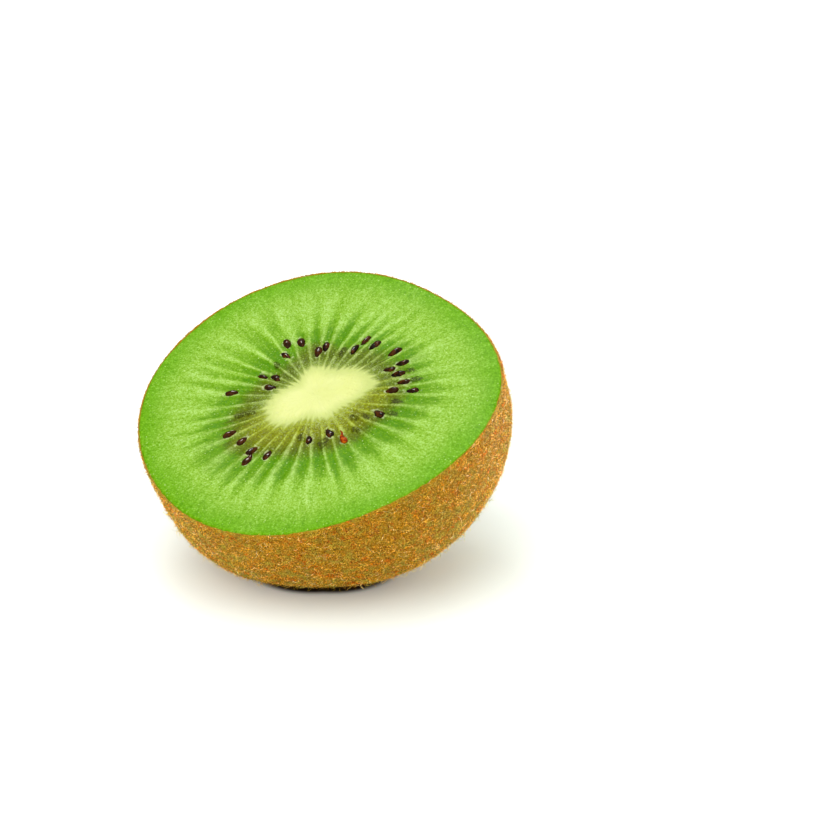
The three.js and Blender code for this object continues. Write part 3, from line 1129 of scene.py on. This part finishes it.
dark_seed = seed_surface("dark_seed", colour(28, 13, 0), colour(86, 42, 2), 0.16)
red_seed = seed_surface("red_seed", colour(150, 46, 0), colour(216, 102, 4), 0.34)
finish_piece(seeds_piece("seeds", "D", 0.95, -0.06), dark_seed)
finish_piece(seeds_piece("red_seed", "R", 0.85, 0.05), red_seed)
finish_piece(tail_piece(), red_seed)

GOLD = hair_surface("gold_hair", [
    colour(146, 94, 0),
    colour(212, 142, 0),
    colour(238, 168, 22),
    colour(252, 208, 94),
])
TAN = hair_surface("tan_hair", [
    colour(120, 94, 0),
    colour(182, 138, 22),
    colour(220, 168, 54),
    colour(246, 208, 128),
])
BROWN = hair_surface("brown_hair", [
    colour(112, 62, 0),
    colour(170, 104, 0),
    colour(208, 142, 10),
    colour(226, 180, 64),
])
PALE = hair_surface("pale_hair", [
    colour(206, 148, 20),
    colour(240, 186, 70),
    colour(252, 214, 118),
    colour(255, 232, 160),
])
HAIR_SHARE = 1.0
FELT = ((0.3, 0.8), 0.03, (6, 42), (0, 0), (0, 0), 1)  # length, radius, rise, bend, curl, steps
CURL = ((0.6, 1.5), 0.028, (8, 40), (20, 70), (10, 80), 3)
FRINGE = ((0.5, 1.0), 0.022, (45, 85), (0, 50), (0, 50), 2)
LONG = ((1.0, 2.0), 0.026, (25, 65), (10, 70), (40, 160), 5)
HAIRS = [
    ("fuzz_felt_tan", TAN, 44000, FELT),
    ("fuzz_felt_gold", GOLD, 44000, FELT),
    ("fuzz_felt_brown", BROWN, 44000, FELT),
    ("fuzz_curl_pale", PALE, 3000, CURL),
    ("fuzz_curl_gold", GOLD, 1800, CURL),
    ("fuzz_fringe", BROWN, 4500, FRINGE),
    ("fuzz_long", PALE, 1900, LONG),
]
for number, (name, material, count, shape) in enumerate(HAIRS):
    hairs = hair_piece(name, int(count * HAIR_SHARE), 50 + number, *shape)
    finish_piece(hairs, material)

# ---- Table, light and camera ----

TABLE_SIZE = 3.0
bpy.ops.mesh.primitive_plane_add(size=TABLE_SIZE)
table = bpy.context.active_object
table.name = "table"
table.data.materials.append(floor_surface())
table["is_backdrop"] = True

LENS_DISTANCE = 0.5
PIXELS_PER_MM = 7.1
PICTURE_WIDTH, PICTURE_HEIGHT = 820, 821
FACE_MIDDLE_PIXEL = (313.9, 397.5)
CAMERA_AZIMUTH = rad(37.85)
CAMERA_ELEVATION = rad(20)
SENSOR = 36.0


def way_to(azimuth, elevation):
    """The way from the fruit to what stands there."""
    return Vector((
        math.sin(azimuth) * math.cos(elevation),
        -math.cos(azimuth) * math.cos(elevation),
        math.sin(elevation),
    ))


face_middle = Vector(OFFSET * MM)
back = way_to(CAMERA_AZIMUTH, CAMERA_ELEVATION)
right = Vector((math.cos(CAMERA_AZIMUTH), math.sin(CAMERA_AZIMUTH), 0))
up = back.cross(right)
aside = (PICTURE_WIDTH / 2 - FACE_MIDDLE_PIXEL[0]) / PIXELS_PER_MM * MM
below = (PICTURE_HEIGHT / 2 - FACE_MIDDLE_PIXEL[1]) / PIXELS_PER_MM * MM
camera_place = face_middle + LENS_DISTANCE * back
aim = face_middle + aside * right - below * up

lens = bpy.data.cameras.new("camera")
camera = bpy.data.objects.new("camera", lens)
bpy.context.scene.collection.objects.link(camera)
camera.location = camera_place
camera.rotation_euler = (aim - camera_place).to_track_quat("-Z", "Y").to_euler()
lens.sensor_fit = "HORIZONTAL"
lens.sensor_width = SENSOR
lens.lens = SENSOR * PIXELS_PER_MM / MM * LENS_DISTANCE / PICTURE_WIDTH
lens.clip_start = 0.01
bpy.context.scene.camera = camera


def softbox(name, azimuth, elevation, distance, size, power, tint=(1.0, 1.0, 1.0)):
    """A square area light that looks at the fruit: angles in degrees, lengths in metres, power in
    watts. azimuth is measured round from the camera's."""
    light = bpy.data.lights.new(name, "AREA")
    light.shape = "SQUARE"
    light.size = size
    light.energy = power
    light.color = tint
    box = bpy.data.objects.new(name, light)
    way = way_to(CAMERA_AZIMUTH + rad(azimuth), rad(elevation))
    box.location = distance * way
    box.rotation_euler = (-way).to_track_quat("-Z", "Y").to_euler()
    box.visible_camera = False
    bpy.context.scene.collection.objects.link(box)
    return box


def shine_on(lights, name, pieces):
    """Let these lights fall on these pieces alone."""
    lit = bpy.data.collections.new(name)
    for piece in pieces:
        lit.objects.link(piece)
    for light in lights:
        light.light_linking.receiver_collection = lit


softbox("overhead", 175, 72, 1.0, 1.0, 2.6)
softbox("front", -22, 46, 1.2, 1.2, 5.6)
softbox("side", 75, 34, 1.1, 0.7, 2.0)
spark = softbox("spark", -150, 68, 0.8, 0.26, 13.0)
spark.visible_diffuse = False

# Two low, cool lights make the skin's sides paler, and leave the cut and the table as they are.
COOL = (0.86, 1.07, 2.6)
kickers = [
    softbox("kicker_right", 118, 16, 1.0, 0.6, 12.0, COOL),
    softbox("kicker_left", -110, 16, 1.0, 0.6, 6.2, COOL),
]
outside = [piece for piece in PIECES if piece.name.startswith(("skin", "blossom", "fuzz"))]
shine_on(kickers, "outside", outside)

# One light without a tint falls on the cut alone.
shine_on([softbox("crown", -8, 70, 1.0, 1.0, 2.15)], "cut_face", [flesh])

WORLD_LIGHT = 0.42
world = bpy.data.worlds.new("studio")
world.use_nodes = True
world.node_tree.nodes["Background"].inputs["Color"].default_value = (1.0, 1.0, 1.0, 1.0)
world.node_tree.nodes["Background"].inputs["Strength"].default_value = WORLD_LIGHT
bpy.context.scene.world = world
bpy.context.scene.view_settings.view_transform = "Standard"


def corners(box):
    return [[float(x) for x in corner] for corner in box]


{"cad": corners(cad_box), "visual": corners(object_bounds())}
